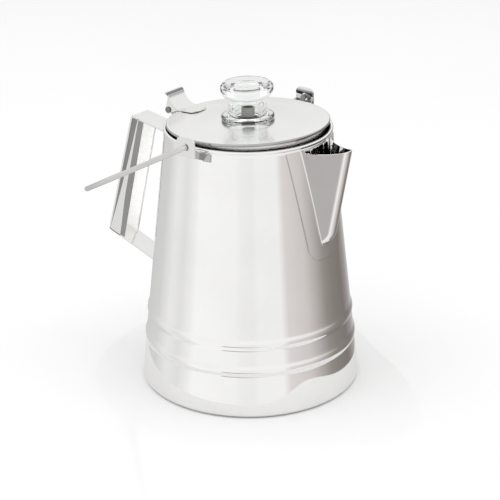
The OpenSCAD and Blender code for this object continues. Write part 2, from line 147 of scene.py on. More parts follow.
def spread(low, high, step):
    """Evenly spaced values from low to high, about a step apart."""
    count = max(1, round((high - low) / step))
    return [low + (high - low) * k / count for k in range(count + 1)]


def smoothstep(x, low, high):
    """Eased share of the way from low to high, held at 0 and 1 beyond them."""
    t = min(1.0, max(0.0, (x - low) / (high - low)))
    return t * t * (3 - 2 * t)


# ---- mesh tools: each shape is a pair of vertex and face lists in millimetres ----

def joined(*shapes):
    """Several shapes as one."""
    verts, faces = [], []
    for shape_verts, shape_faces in shapes:
        start = len(verts)
        verts += shape_verts
        faces += [[start + i for i in face] for face in shape_faces]
    return verts, faces


def moved(shape, matrix):
    """A shape put through a matrix."""
    return [tuple(matrix @ Vector(v)) for v in shape[0]], shape[1]


def rings_to_faces(count, around, closed=True):
    """Quads between rows of points, which close round each row and, if closed, from last to first."""
    faces = []
    for row in range(count if closed else count - 1):
        for k in range(around):
            a, b = row * around, (row + 1) % count * around
            faces.append([a + k, a + (k + 1) % around, b + (k + 1) % around, b + k])
    return faces


def lathe(outline, segments=SEGMENTS):
    """A closed outline of (radius, height) turned about the Z axis."""
    verts = []
    for k in range(segments):
        a = 2 * math.pi * k / segments
        verts += [(r * math.cos(a), r * math.sin(a), z) for r, z in outline]
    return verts, rings_to_faces(segments, len(outline))


def inset(loop, d):
    """A closed 2-D outline with every edge moved d to its left."""
    points = []
    for k, here in enumerate(loop):
        before, after = Vector(loop[k - 1]), Vector(loop[(k + 1) % len(loop)])
        here = Vector(here)
        n1 = (here - before).normalized().orthogonal()
        n2 = (after - here).normalized().orthogonal()
        points.append(tuple(here + (n1 + n2) * d / (1 + n1.dot(n2))))
    return points


def anticlockwise(loop):
    """A closed 2-D outline in the order that inset needs."""
    area = sum(a[0] * b[1] - b[0] * a[1] for a, b in zip(loop, loop[1:] + loop[:1]))
    return list(loop) if area > 0 else list(reversed(loop))


def slab(outline, low, high, soft=0.3, holes=(), steps=3):
    """An outline in (u, v) extruded along w from low to high, with soft edges and optional holes."""
    loops = [anticlockwise(outline)] + [list(reversed(anticlockwise(h))) for h in holes]
    levels = []
    for k in range(steps, -1, -1):
        a = math.pi / 2 * k / steps
        levels.append((soft * (1 - math.sin(a)), soft * (1 - math.cos(a))))
    verts, faces, caps = [], [], ([], [])
    for loop in loops:
        rows = [(low + up, inn) for up, inn in levels]
        rows += [(high - up, inn) for up, inn in reversed(levels)]
        start = len(verts)
        for w, inn in rows:
            verts += [(u, v, w) for u, v in inset(loop, inn)]
        faces += [[start + i for i in face] for face in rings_to_faces(len(rows), len(loop), False)]
        caps[0].append([start + k for k in range(len(loop))])
        caps[1].append([start + (len(rows) - 1) * len(loop) + k for k in range(len(loop))])
    for rings in caps:
        order = [i for ring in rings for i in ring]
        if len(rings) == 1:
            faces.append(order)
        else:
            flat = [[Vector(verts[i]) for i in ring] for ring in rings]
            faces += [[order[i] for i in triangle] for triangle in tessellate_polygon(flat)]
    return verts, faces


# ACROSS stands an outline up in X and Z, and ALONG_X stands it up in Y and Z. HANDLE_SIDE puts
# distances towards the handle on -X.
ACROSS = Matrix(((1, 0, 0, 0), (0, 0, -1, 0), (0, 1, 0, 0), (0, 0, 0, 1)))
ALONG_X = Matrix(((0, 0, 1, 0), (1, 0, 0, 0), (0, 1, 0, 0), (0, 0, 0, 1)))
HANDLE_SIDE = Matrix.Diagonal((-1, 1, 1, 1))


def across(outline, half, soft=0.3, holes=(), middle=0.0):
    """An outline in (x, z) extruded to both sides of a plane of constant y."""
    return moved(slab(outline, -middle - half, -middle + half, soft, holes), ACROSS)


def barrel(x, z, r, half, soft=0.3, middle=0.0, bore=0.0):
    """A round bar, or a tube where it has a bore, along Y."""
    holes = [circle(x, z, bore, 40)] if bore else []
    return across(circle(x, z, r, 48), half, soft, holes, middle)


def tube(points, r, sides=28):
    """A round wire along a line of points, with softly rounded ends."""
    points = [Vector(p) for p in points]
    tangents = []
    for k in range(len(points)):
        before, after = points[max(k - 1, 0)], points[min(k + 1, len(points) - 1)]
        tangents.append((after - before).normalized())
    side = tangents[0].orthogonal().normalized()
    rows = []
    for point, tangent in zip(points, tangents):
        side = (side - tangent * side.dot(tangent)).normalized()
        rows.append((point, tangent, side.copy(), 1.0))
    rounding = 0.3
    soft = rounding * r
    ends = []
    for at, sign in ((0, -1), (-1, 1)):
        point, tangent, side_at, _ = rows[at]
        steps = [(math.sin(a), math.cos(a)) for a in (math.pi / 8 * k for k in range(1, 5))]
        ends.append([(point - tangent * sign * soft * (1 - s), tangent, side_at,
                      1 - rounding * (1 - c)) for s, c in steps])
    rows[0] = (points[0] + tangents[0] * soft, tangents[0], rows[0][2], 1.0)
    rows[-1] = (points[-1] - tangents[-1] * soft, tangents[-1], rows[-1][2], 1.0)
    rows = list(reversed(ends[0])) + rows + ends[1]
    verts = []
    for point, tangent, side_at, size in rows:
        other = tangent.cross(side_at)
        for k in range(sides):
            a = 2 * math.pi * k / sides
            verts.append(tuple(point + (side_at * math.cos(a) + other * math.sin(a)) * r * size))
    faces = rings_to_faces(len(rows), sides, False)
    faces.append(list(range(sides)))
    faces.append([len(verts) - 1 - k for k in range(sides)])
    return verts, faces


def make(name, shape, sharp=32.0, weighted=False):
    """A Blender object from a shape, welded, facing outwards and smooth up to the sharp angle."""
    mesh = bpy.data.meshes.new(name)
    mesh.from_pydata([[c * MM for c in v] for v in shape[0]], [], shape[1])
    piece = bpy.data.objects.new(name, mesh)
    scene.collection.objects.link(piece)
    work = bmesh.new()
    work.from_mesh(mesh)
    bmesh.ops.remove_doubles(work, verts=work.verts, dist=1e-7)
    bmesh.ops.dissolve_degenerate(work, edges=work.edges, dist=1e-7)
    bmesh.ops.recalc_face_normals(work, faces=work.faces)
    work.to_mesh(mesh)
    work.free()
    smooth(piece, sharp, weighted)
    return piece


def smooth(piece, sharp, weighted=False):
    """Smooth shading up to the sharp angle, with flat faces kept flat where it is weighted."""
    piece.data.shade_smooth()
    piece.data.set_sharp_from_angle(angle=math.radians(sharp))
    if weighted:
        even = piece.modifiers.new("even_normals", "WEIGHTED_NORMAL")
        even.weight = 100
        even.keep_sharp = True


def bake_modifiers(piece):
    """Replaces a piece's mesh by what its modifiers make of it."""
    graph = bpy.context.evaluated_depsgraph_get()
    mesh = bpy.data.meshes.new_from_object(piece.evaluated_get(graph))
    piece.modifiers.clear()
    piece.data = mesh


def carve(piece, shape, operation="DIFFERENCE"):
    """Cuts a shape out of a piece, or keeps only what lies inside the shape."""
    cutter = make(piece.name + "_cutter", shape)
    boolean = piece.modifiers.new("carve", "BOOLEAN")
    boolean.operation = operation
    boolean.solver = "EXACT"
    boolean.object = cutter
    bake_modifiers(piece)
    bpy.data.objects.remove(cutter, do_unlink=True)


# ---- procedural materials ----

class Nodes:
    """Short names for making and linking shader nodes."""

    def __init__(self, tree):
        self.tree = tree
        tree.nodes.clear()

    def add(self, kind, **settings):
        node = self.tree.nodes.new("ShaderNode" + kind)
        for name, value in settings.items():
            if name in node.inputs:
                node.inputs[name].default_value = value
            else:
                setattr(node, name, value)
        return node

    def link(self, source, target):
        self.tree.links.new(source, target)

    def mapped(self, scale):
        """Coordinates of the piece, stretched by a scale per axis."""
        place = self.add("TexCoord")
        stretch = self.add("Mapping")
        stretch.inputs["Scale"].default_value = scale
        self.link(place.outputs["Object"], stretch.inputs["Vector"])
        return stretch.outputs["Vector"]

    def noise(self, vector, scale, detail=4.0, roughness=0.5):
        node = self.add("TexNoise", Scale=scale, Detail=detail, Roughness=roughness)
        self.link(vector, node.inputs["Vector"])
        return node.outputs["Fac"]

    def remap(self, value, low, high, start=0.35, end=0.65):
        node = self.add("MapRange")
        for name, number in (("From Min", start), ("From Max", end), ("To Min", low), ("To Max", high)):
            node.inputs[name].default_value = number
        self.link(value, node.inputs["Value"])
        return node.outputs["Result"]

    def math(self, operation, a, b=None):
        node = self.add("Math", operation=operation)
        for socket, value in zip(node.inputs, (a, b)):
            if isinstance(value, (int, float)):
                socket.default_value = value
            elif value is not None:
                self.link(value, socket)
        return node.outputs[0]

    def ramp(self, value, stops, interpolation="EASE"):
        node = self.add("ValToRGB")
        node.color_ramp.interpolation = interpolation
        elements = node.color_ramp.elements
        while len(elements) < len(stops):
            elements.new(0.5)
        for element, (position, color) in zip(elements, stops):
            element.position = position
            element.color = (*color, 1) if isinstance(color, tuple) else (color, color, color, 1)
        self.link(value, node.inputs["Fac"])
        return node.outputs["Color"]

    def blend(self, factor, a, b, kind="MIX"):
        """Colour b over colour a."""
        node = self.add("Mix", data_type="RGBA", blend_type=kind)
        for socket, value in ((node.inputs["Factor"], factor), (node.inputs[6], a), (node.inputs[7], b)):
            if isinstance(value, float):
                socket.default_value = value
            elif isinstance(value, tuple):
                socket.default_value = (*value, 1)
            else:
                self.link(value, socket)
        return node.outputs[2]

    def bump(self, height, distance, strength, normal=None):
        node = self.add("Bump", Strength=strength, Distance=distance)
        self.link(height, node.inputs["Height"])
        if normal is not None:
            self.link(normal, node.inputs["Normal"])
        return node.outputs["Normal"]


NEUTRAL = (1.0, 0.995, 0.985)


def steel(name, tone, tint, roughness, grain, grain_depth, smudge, metal=1.0, painted_glow=0.0):
    """Stainless steel. The grain is the scale of its polishing lines per axis, and smudge is how far
    handling marks and the polish itself change the roughness from place to place. The lining of the
    grip is less metal and has a little painted glow, painted light for how bright the inside of a polished channel
    looks."""
    material = bpy.data.materials.new(name)
    material.use_nodes = True
    nodes = Nodes(material.node_tree)
    shader = nodes.add("BsdfPrincipled", Metallic=metal)
    shader.inputs["Emission Color"].default_value = (*NEUTRAL, 1)
    shader.inputs["Emission Strength"].default_value = painted_glow
    out = nodes.add("OutputMaterial")
    nodes.link(shader.outputs["BSDF"], out.inputs["Surface"])
    lines = nodes.noise(nodes.mapped(grain), 1.0, 6.0, 0.6)
    cloud = nodes.noise(nodes.mapped((1, 1, 1)), 23.0, 5.0, 0.55)
    marks = nodes.noise(nodes.mapped((1, 1, 0.6)), 140.0, 3.0, 0.7)
    dark, light = tuple(c * (tone - 0.02) for c in tint), tuple(c * (tone + 0.01) for c in tint)
    blend = nodes.math("ADD", nodes.math("MULTIPLY", lines, 0.15), nodes.math("MULTIPLY", cloud, 0.85))
    nodes.link(nodes.ramp(blend, [(0.36, dark), (0.62, light)]), shader.inputs["Base Color"])
    wear = nodes.remap(cloud, roughness, roughness + smudge, 0.42, 0.72)
    fine = nodes.remap(marks, -0.25 * smudge, 0.25 * smudge, 0.3, 0.7)
    nodes.link(nodes.math("MAXIMUM", nodes.math("ADD", wear, fine), 0.02), shader.inputs["Roughness"])
    waves = nodes.noise(nodes.mapped((1, 1, 0.5)), 9.0, 1.0, 0.3)
    broad = nodes.bump(waves, 0.0006, 0.12)
    nodes.link(nodes.bump(lines, grain_depth, 0.35, broad), shader.inputs["Normal"])
    return material


def glass(name):
    """Clear pressed glass, with the slight ripple that the mould leaves."""
    material = bpy.data.materials.new(name)
    material.use_nodes = True
    nodes = Nodes(material.node_tree)
    shader = nodes.add("BsdfPrincipled", IOR=1.47)
    shader.inputs["Transmission Weight"].default_value = 1.0
    out = nodes.add("OutputMaterial")
    nodes.link(shader.outputs["BSDF"], out.inputs["Surface"])
    ripple = nodes.noise(nodes.mapped((1, 1, 2.2)), 90.0, 2.0, 0.4)
    haze = nodes.noise(nodes.mapped((1, 1, 1)), 260.0, 4.0, 0.6)
    tint = nodes.ramp(haze, [(0.3, (0.955, 0.975, 0.965)), (0.7, (0.985, 0.992, 0.99))])
    nodes.link(tint, shader.inputs["Base Color"])
    nodes.link(nodes.remap(haze, 0.004, 0.03, 0.4, 0.75), shader.inputs["Roughness"])
    nodes.link(nodes.bump(ripple, 0.0004, 0.12), shader.inputs["Normal"])
    return material


POLISHED = steel("polished_sheet", 0.93, NEUTRAL, 0.025, (5, 5, 900), 0.0000012, 0.025)
LID_STEEL = steel("lid_sheet", 0.9, NEUTRAL, 0.2, (160, 160, 160), 0.00002, 0.06)
STRAP = steel("polished_strap", 0.84, NEUTRAL, 0.06, (40, 700, 40), 0.00001, 0.05)
# The lining's glow is painted light: a painted sheen for the light that bounces inside the channel, brighter than
# plain metal would be.
LINING_WITH_PAINTED_GLOW = steel("channel_lining_painted_glow", 0.97, (1.0, 1.0, 0.995), 0.5, (40, 40, 40), 0.00001, 0.1, 0.1, 0.33)
# Darker steel as painted shade, for the lever's lip, the bail's hooks in their ears and the hinge pin.
PAINTED_SHADE_DARK = steel("painted_shade_dark", 0.24, (1.0, 0.98, 0.96), 0.15, (60, 60, 500), 0.00001, 0.1)
# Darker steel as painted reflection, for the dark bands on the right flange's outer and inner flats.
SHADED = steel("shaded_flat", 0.3, (1.0, 0.985, 0.97), 0.12, (60, 60, 500), 0.00001, 0.08)
# Mid-grey steel as painted shade, for the ear legs, the hinge bracket, the lid's curl and the weld along the
# spout's flange.
PAINTED_SHADE_MID = steel("painted_shade_mid", 0.5, NEUTRAL, 0.12, (60, 60, 500), 0.00001, 0.08)
TUBE = steel("stained_tube", 0.3, (1.0, 0.97, 0.93), 0.16, (30, 30, 500), 0.00002, 0.12)
SATIN = steel("satin_sheet", 0.78, NEUTRAL, 0.2, (30, 30, 700), 0.00003, 0.12)
WIRE = steel("drawn_wire", 0.72, (1.0, 0.985, 0.97), 0.22, (500, 30, 500), 0.00004, 0.1)
GLASS = glass("pressed_glass")


def dress(piece, body, slot, material, *nodes):
    """Gives a finished piece its material, hangs it on its body and hides the CAD nodes it stands for. The slot is
    not used.
    """
    piece.data.materials.clear()
    piece.data.materials.append(material)
    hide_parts(*nodes)
    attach(piece, body)
    return piece


# ---- pot ----

def wall_outline():
    """Closed outline of the pot's wall: rounded corner, beads, rolled rim and the inner face."""
    levels = spread(CORNER_R, BEAD_LEVELS[0] - BEAD_WIDTH / 2, 3.0)
    levels += spread(levels[-1], BEAD_LEVELS[-1] + BEAD_WIDTH / 2, 0.5)[1:]
    levels += spread(levels[-1], RIM_Z - RIM_R, 3.0)[1:]
    corner = cone_r(CORNER_R) - CORNER_R
    outer = [(PLATE_R, 0.0)] + arc(corner, CORNER_R, CORNER_R, -90, 0, 10)
    outer += [(cone_r(z) + bead(z), z) for z in levels[1:]]
    rim = arc(MOUTH_R - RIM_INSET, RIM_Z, RIM_R, -60, 210, 28)
    inner = arc(corner, CORNER_R, CORNER_R - SHEET, -90, 0, 8)
    inner += [(cone_r(z) + bead(z) - SHEET, z) for z in levels[1:]]
    return outer + rim + list(reversed(inner)) + [(PLATE_R, SHEET)]


def wall_slot(width, low, top, turn):
    """Cutter for an upright slot with rounded corners, turned about the pot's axis."""
    corner, inside_r = 2.0, 40
    half = width / 2 - corner
    outline = (arc(half, low + corner, corner, -90, 0, 6) + arc(half, top - corner, corner, 0, 90, 6)
               + arc(-half, top - corner, corner, 90, 180, 6)
               + arc(-half, low + corner, corner, 180, 270, 6))
    block = slab(outline, inside_r, BASE_R, 0.0, steps=1)
    return moved(block, Matrix.Rotation(math.radians(turn), 4, "Z") @ ALONG_X)


def strainer():
    """Cutters behind the spout: three tall slots parted by two bars, over three rows of holes."""
    slots_top, middle_w, middle_low, side_w, side_low, side_turn = 186.4, 14.0, 150.0, 5.4, 158.0, 11.4
    cutters = [wall_slot(middle_w, middle_low, slots_top, 0)]
    cutters += [wall_slot(side_w, side_low, slots_top, side * side_turn) for side in (-1, 1)]
    rows, first_z, pitch, hole_r, turn = 3, 127.0, 7.0, 2.2, math.radians(6.4)
    for row in range(rows):
        z = first_z + row * pitch
        for k in range(row + 1):
            rod = slab(circle(0, 0, hole_r, 24), -5, 5, 0.0, steps=1)
            place = (Matrix.Rotation((k - row / 2) * turn, 4, "Z") @ Matrix.Translation((cone_r(z), 0, z))
                     @ Matrix.Rotation(math.pi / 2, 4, "Y"))
            cutters.append(moved(rod, place))
    return cutters


def pot_body():
    """The wall with the strainer cut through it behind the spout."""
    piece = make("pot_wall", lathe(wall_outline()), 60)
    for cutter in strainer():
        carve(piece, cutter)
    smooth(piece, 60)
    dress(piece, "pot_frame", "polished_steel", POLISHED, "pot_body")


def base_plate():
    """Flat disc in the wall's lower edge, with a shallow ring pressed into its underside."""
    ring_r, ring_w, ring_d, thick = 56.0, 5.0, 0.5, 1.2
    under = [(0, 0), (ring_r - ring_w - 0.4, 0), (ring_r - ring_w, 0.12),
             (ring_r - ring_w + 0.6, ring_d - 0.1), (ring_r - ring_w + 1.1, ring_d),
             (ring_r - 1.1, ring_d), (ring_r - 0.6, ring_d - 0.1), (ring_r, 0.12),
             (ring_r + 0.4, 0), (PLATE_R, 0)]
    piece = make("base_disc", lathe(under + [(PLATE_R, thick), (0, thick)]), 60)
    dress(piece, "pot_frame", "polished_steel", SATIN, "base_plate")


# ---- spout ----

TIP_X = spout_high.x
TIP_Z = spout_high.z
SPOUT_LOW = spout_low.z
RIDGE_LEAN = math.tan(math.radians(11))
HALF_ANGLE = math.radians(26.5)
NOSE_R = 6.0
WALL_BACK_X = 52.0
FLANGE_T = 0.8
FLANGE_TOP_Z = 187.9
FLANGE_CORNER = 12.0
FOLD_R = 0.3


def ridge_x(z):
    """Front of the spout's straight ridge at a height."""
    return TIP_X - (TIP_Z - z) * RIDGE_LEAN


def keel_x(z):
    """Front of the spout at a height: the straight ridge, and below it a bend down into the wall."""
    bend_z, bend_r = 126.0, 12.0
    lean = math.atan(RIDGE_LEAN)
    middle_x = ridge_x(bend_z) - bend_r * math.cos(lean)
    middle_z = bend_z + bend_r * math.sin(lean)
    if z >= bend_z:
        return ridge_x(z)
    drop = (middle_z - z) / bend_r
    return middle_x + bend_r * math.sqrt(max(0.0, 1 - drop * drop))


def trough_x(y, z):
    """Outer face of the trough at a place across and a height: two flanks and a round nose."""
    apex = ridge_x(z) + NOSE_R * (1 / math.sin(HALF_ANGLE) - 1)
    nose_r = (apex - keel_x(z)) / (1 / math.sin(HALF_ANGLE) - 1)
    y = abs(y)
    if y < nose_r * math.cos(HALF_ANGLE):
        return keel_x(z) - nose_r + math.sqrt(nose_r * nose_r - y * y)
    return apex - y / math.tan(HALF_ANGLE)


def spout_x(y, z):
    """Outer face of the spout's sheet: the trough and the flange, with a soft fold between them."""
    flange = math.sqrt(max(1.0, (cone_r(z) + FLANGE_T) ** 2 - y * y))
    gap = trough_x(y, z) - flange
    return flange + (gap + math.sqrt(gap * gap + FOLD_R * FOLD_R)) / 2 - 0.02 * FOLD_R


def flange_half(z):
    """Half of the flange's width at a height."""
    top_half, low_half = 28.4, 18.8
    straight_low = SPOUT_LOW + FLANGE_CORNER
    if z > straight_low:
        return low_half + (top_half - low_half) * (z - straight_low) / (FLANGE_TOP_Z - straight_low)
    down = straight_low - z
    return low_half - FLANGE_CORNER + math.sqrt(max(0.0, FLANGE_CORNER * FLANGE_CORNER - down * down))


def spout():
    """One sheet: a net of points over the trough and its flange, given its thickness inwards."""
    columns, corner_rows, mouth_sag, flange_sag, mouth_h = 90, 14, 2.6, -0.5, 12
    mouth_half = (TIP_X - WALL_BACK_X) / 2
    bow_r = (mouth_half ** 2 + mouth_sag ** 2) / (2 * mouth_sag)
    levels = [SPOUT_LOW + FLANGE_CORNER * (1 - math.cos(math.pi / 2 * k / corner_rows))
              for k in range(corner_rows)]
    levels += spread(SPOUT_LOW + FLANGE_CORNER, TIP_Z, 0.9)
    verts = []
    for level in levels:
        for k in range(-columns, columns + 1):
            y = flange_half(level) * (k / columns)
            bow_x = spout_x(y, level) - WALL_BACK_X - mouth_half
            sag = bow_r - mouth_sag - math.sqrt(bow_r * bow_r - bow_x * bow_x)
            lip = flange_sag if trough_x(y, level) < cone_r(level) + 1.5 else sag
            z = level + lip * smoothstep(level, TIP_Z - mouth_h, TIP_Z)
            verts.append((spout_x(y, z), y, z))
    wide = 2 * columns + 1
    faces = [[row * wide + k, row * wide + k + 1, (row + 1) * wide + k + 1, (row + 1) * wide + k]
             for row in range(len(levels) - 1) for k in range(wide - 1)]
    piece = make("spout_sheet", (verts, faces), 50)
    outward = sum((p.normal.x for p in piece.data.polygons), 0.0)
    if outward < 0:
        piece.data.flip_normals()
    shell = piece.modifiers.new("thickness", "SOLIDIFY")
    shell.thickness = FLANGE_T * MM
    shell.offset = -1
    bake_modifiers(piece)
    smooth(piece, 50)
    dress(piece, "pot_frame", "polished_steel", POLISHED, "spout")
    spout_weld(levels[1:corner_rows])


def spout_weld(corner_levels):
    """The thin seam round the flange, from one top corner down, across its foot and up again."""
    weld_r, weld_top, edge_in, foot_in, proud = 0.42, 187.0, 0.1, 0.8, 0.35
    side = [(flange_half(z) - edge_in, z)
            for z in corner_levels + spread(SPOUT_LOW + FLANGE_CORNER, weld_top, 2.0)[1:]]
    foot_half = side[0][0] - foot_in
    path = [(-y, z) for y, z in reversed(side)]
    path += [(y, SPOUT_LOW) for y in spread(-foot_half, foot_half, 1.0)] + side
    seam = [(math.sqrt(cone_r(z) ** 2 - y * y) + proud, y, z) for y, z in path]
    # The seam is real; its darker steel is painted shade of the gap along the flange's edge.
    dress(make("spout_weld", tube(seam, weld_r, 12), 60), "pot_frame", "polished_steel", PAINTED_SHADE_MID, "spout")


# ---- handle: its distances run towards -X ----

STRAP_W = grip_high.y - grip_low.y
STRAP_T = 1.6
STRAP_BEND_R = 2.6
GRIP_TOP = Vector((101.0, grip_high.z))
GRIP_LOW = Vector((-grip_low.x, 86.0))
ARM_DROP = math.tan(math.radians(11))
GRIP_LEAN = math.atan2(GRIP_LOW.x - GRIP_TOP.x, GRIP_TOP.y - GRIP_LOW.y)
UPPER_SEAM, LOWER_SEAM = 87.0, 106.0
UPPER_ROOT_Z, LOWER_ROOT_Z = 174.5, 66.5
LOWER_ROOT = Vector((cone_r(LOWER_ROOT_Z) + STRAP_T, LOWER_ROOT_Z))
LOW_SLOPE = (GRIP_LOW.y - LOWER_ROOT.y) / (GRIP_LOW.x - LOWER_ROOT.x)
TAB_H = 15.0


def upper_z(x):
    """Top face of the upper arm, at a distance towards the handle."""
    return GRIP_TOP.y - (GRIP_TOP.x - x) * ARM_DROP


def lower_z(x):
    """Underside of the lower arm, at a distance towards the handle."""
    return GRIP_LOW.y - (GRIP_LOW.x - x) * LOW_SLOPE


def grip_x(z):
    """Outer face of the grip at a height."""
    return GRIP_TOP.x + (GRIP_TOP.y - z) * math.tan(GRIP_LEAN)


def bent_strap(path, thickness):
    """Closed outline of a strap whose outer face follows a path and whose inner face lies to its left."""
    inner = inset(path, thickness)
    inner[0] = tuple(Vector(path[0]) + left_of(path[0], path[1]) * thickness)
    inner[-1] = tuple(Vector(path[-1]) + left_of(path[-2], path[-1]) * thickness)
    return list(path) + list(reversed(inner))


def left_of(a, b):
    """Unit vector to the left of the way from a to b."""
    along = (Vector(b) - Vector(a)).normalized()
    return Vector((-along.y, along.x))


def rounded(points, radius, steps=6):
    """A path with its inner corners turned into arcs."""
    path = [points[0]]
    for before, here, after in zip(points, points[1:], points[2:]):
        here = Vector(here)
        a, b = (Vector(before) - here).normalized(), (Vector(after) - here).normalized()
        half = a.angle(b) / 2
        back = radius / math.tan(half)
        middle = here + (a + b).normalized() * radius / math.sin(half)
        start, end = here + a * back - middle, here + b * back - middle
        turn = start.angle_signed(end)
        for k in range(steps + 1):
            c, s = math.cos(-turn * k / steps), math.sin(-turn * k / steps)
            path.append(tuple(middle + Vector((start.x * c - start.y * s, start.x * s + start.y * c))))
    return path + [points[-1]]


def strap_along(path):
    """The handle's strap with its outer face on a path of (distance towards the handle, height)."""
    return moved(across(bent_strap(path, STRAP_T), STRAP_W / 2, 0.45), HANDLE_SIDE)


def handle_arms():
    """Two straps that run from the grip to the wall and end in a tab on it."""
    on_wall = 0.02
    root_x = cone_r(UPPER_ROOT_Z) + STRAP_T
    root_z = upper_z(root_x)
    upper = rounded([(UPPER_SEAM, upper_z(UPPER_SEAM)), (root_x - STRAP_T, upper_z(root_x - STRAP_T)),
                     (cone_r(root_z - TAB_H) + on_wall, root_z - TAB_H)], STRAP_BEND_R)
    dress(make("handle_upper_arm_strap", strap_along(upper), weighted=True), "pot_frame",
          "polished_steel", STRAP, "handle_upper_arm")
    top_z = LOWER_ROOT.y + TAB_H
    foot_x = LOWER_ROOT.x - STRAP_T
    lower = rounded([(cone_r(top_z) + on_wall, top_z), (foot_x, lower_z(foot_x)),
                     (LOWER_SEAM, lower_z(LOWER_SEAM))], STRAP_BEND_R)
    dress(make("handle_lower_arm_strap", strap_along(lower), weighted=True), "pot_frame",
          "polished_steel", STRAP, "handle_lower_arm")


def handle_grip():
    """Channel grip: one bent strap, with flanges along the upright that turn in towards the pot."""
    top_depth, low_depth, flange_t, lining_half, top_cut = 11.5, 14.5, 1.4, 0.25, 6
    spine = [(UPPER_SEAM, upper_z(UPPER_SEAM)), tuple(GRIP_TOP), tuple(GRIP_LOW),
             (LOWER_SEAM, lower_z(LOWER_SEAM))]
    web = strap_along(list(reversed(rounded(spine, 3.0))))
    top_in, low_in = GRIP_TOP.x - top_depth - 0.6, GRIP_LOW.x - low_depth
    outline = [(top_in, upper_z(top_in) - 0.05)] + rounded(spine, 3.2)[1:-1]
    outline += [(low_in, lower_z(low_in) + 0.05), (low_in, GRIP_LOW.y)]
    outline += [(grip_x(GRIP_TOP.y - top_cut) - top_depth, GRIP_TOP.y - top_cut)]
    inner = STRAP_W / 2 - flange_t
    linings = [across(outline, lining_half, 0.1, middle=side * (inner + lining_half)) for side in (-1, 1)]
    dress(make("handle_grip_lining", moved(joined(*linings), HANDLE_SIDE), weighted=True), "pot_frame",
          "polished_steel", LINING_WITH_PAINTED_GLOW, "handle_grip")
    right, left = ([flange_flat(side, flat, top_depth, low_depth, inner + 2 * lining_half)
                    for flat in range(3)] for side in (-1, 1))
    # The outer and inner flats of the right flange are a darker steel: painted reflection of dark bands; the
    # middle flat and the left flange are not.
    for skin, place, material in zip(right, ("outer", "middle", "inner"), (SHADED, STRAP, SHADED)):
        dress(make("handle_grip_right_" + place, moved(skin, HANDLE_SIDE), 4), "pot_frame",
              "polished_steel", material, "handle_grip")
    dress(make("handle_grip_left", moved(joined(*left), HANDLE_SIDE), 4), "pot_frame",
          "polished_steel", STRAP, "handle_grip")
    dress(make("handle_grip_channel", web, weighted=True), "pot_frame", "polished_steel", STRAP,
          "handle_grip")


def flange_flat(side, flat, top_depth, low_depth, inner_y):
    """One of the three flats, pressed at a shallow angle, that make the outer sheet of a flange."""
    slope, rows, outer_y, gap = math.tan(math.radians(8)), 24, STRAP_W / 2, 0.4
    low_x, top_x = GRIP_LOW.x - 0.5, GRIP_TOP.x - gap
    verts = []
    for row in range(rows + 1):
        t = row / rows
        first, second = 0.05 + 0.62 * t - 0.11 * t * t, 0.74 - 0.12 * smoothstep(t, 0.0, 0.4)
        depth = low_depth + (top_depth - low_depth) * t
        folds = [(0.0, outer_y - first * depth * slope), (first, outer_y), (second, outer_y),
                 (1.0, outer_y - (1 - second) * depth * slope)]
        start, end = folds[flat:flat + 2]
        for share, y in (start, end, (end[0], inner_y), (start[0], inner_y)):
            low = (low_x - share * (low_depth - 0.5), lower_z(low_x - share * low_depth) + gap)
            top = (top_x - share * (top_depth - gap), upper_z(top_x - share * top_depth) - gap)
            verts.append((low[0] + (top[0] - low[0]) * t, side * y, low[1] + (top[1] - low[1]) * t))
    faces = rings_to_faces(rows + 1, 4, False)
    return verts, faces + [[0, 1, 2, 3], [rows * 4 + k for k in range(3, -1, -1)]]


# ---- bail and its ears ----

EAR_T = 1.2
EAR_W = 15.5
EAR_FIT = 0.7
EAR_TOP = ear_high.z
EAR_PLATE_LOW = 187.0
EAR_OUT = -ear_low.y


def ear(side):
    """Ear of folded sheet: a plate that the bail passes through, and two legs back to the wall."""
    hole = circle(0, BAIL_Z, WIRE_R + EAR_FIT, 24)
    corner = 4.0
    half = EAR_W / 2
    front = ([(-half, EAR_PLATE_LOW), (half, EAR_PLATE_LOW)]
             + arc(half - corner, EAR_TOP - corner, corner, 0, 90, 10)
             + arc(corner - half, EAR_TOP - corner, corner, 90, 180, 10))
    plate = across(front, EAR_T / 2, 0.3, [hole], -(EAR_OUT - EAR_T / 2))
    leg_top, foot_low, foot_top, foot_w, off_wall, inset_z = 192.6, ear_low.z, 187.9, 6.0, 0.4, 0.1
    front_y = -EAR_OUT + 0.9
    wall_y = -math.sqrt(cone_r(foot_top) ** 2 - half * half) - off_wall
    leg = [(front_y, EAR_PLATE_LOW + inset_z), (front_y, leg_top),
           (wall_y, foot_top - inset_z), (wall_y, foot_low + inset_z)]
    legs = [moved(slab(leg, low, low + EAR_T, 0.25), ALONG_X) for low in (half - EAR_T, -half)]
    feet = [foot_on_wall(start, start + sign * foot_w, foot_low, foot_top, EAR_T)
            for start, sign in ((half - EAR_T, 1), (EAR_T - half, -1))]
    mirror = Matrix.Diagonal((1, -side, 1, 1))
    return moved(plate, mirror), moved(joined(*legs, *feet), mirror)


